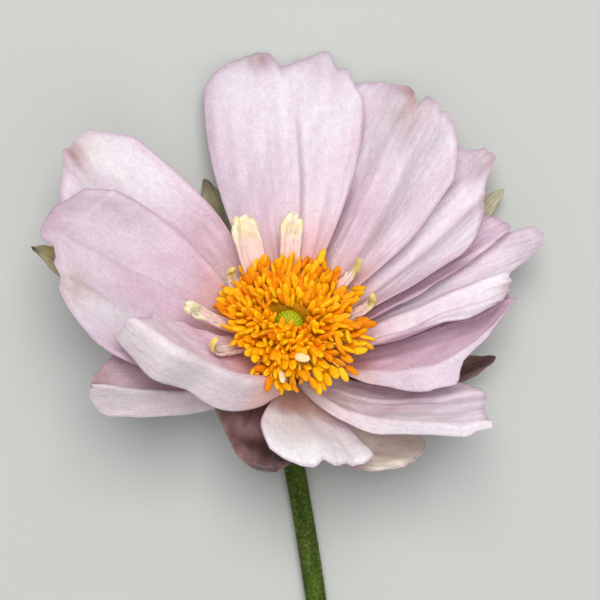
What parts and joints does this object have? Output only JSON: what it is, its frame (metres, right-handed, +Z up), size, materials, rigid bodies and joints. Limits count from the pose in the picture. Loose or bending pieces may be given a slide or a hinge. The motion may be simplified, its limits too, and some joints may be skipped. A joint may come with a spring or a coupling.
{
  "type": "japanese anemone flower",
  "caption": "Cut japanese anemone flower lying on its back: a bowl of pale pink petal-like tepals round a boss of orange stamens and a green centre, on a slim bowed stem.",
  "frame": {"origin": "centre of the footprint, on the surface the flower lies on", "axes": "+Z up out of the open flower, +Y from the cut end of the stem towards the head, +X to the right of it"},
  "size_m": [0.0652, 0.1154, 0.028],
  "materials": {
    "tepal": "matte, thin and slightly translucent",
    "outer_tepal": "matte, finely hairy outside",
    "staminode": "satin",
    "stamen": "matte",
    "carpel": "matte",
    "stem": "matte, finely hairy"
  },
  "bodies": {
    "root": {"tepal_01": "tepal", "tepal_02": "tepal", "tepal_03": "tepal", "tepal_04": "tepal", "tepal_05": "tepal", "tepal_06": "tepal", "tepal_07": "tepal", "tepal_08": "tepal", "tepal_09": "tepal", "tepal_10": "tepal", "tepal_11": "tepal", "tepal_12": "tepal", "tepal_13": "tepal", "outer_tepal_1": "outer_tepal", "outer_tepal_2": "outer_tepal", "outer_tepal_3": "outer_tepal", "outer_tepal_4": "outer_tepal", "outer_tepal_5": "outer_tepal", "staminode_1": "staminode", "staminode_2": "staminode", "staminode_3": "staminode", "staminode_4": "staminode", "staminode_5": "staminode", "staminode_6": "staminode", "staminode_7": "staminode", "stamens": "stamen", "carpels": "carpel", "stem": "stem"}
  },
  "joints": []
}
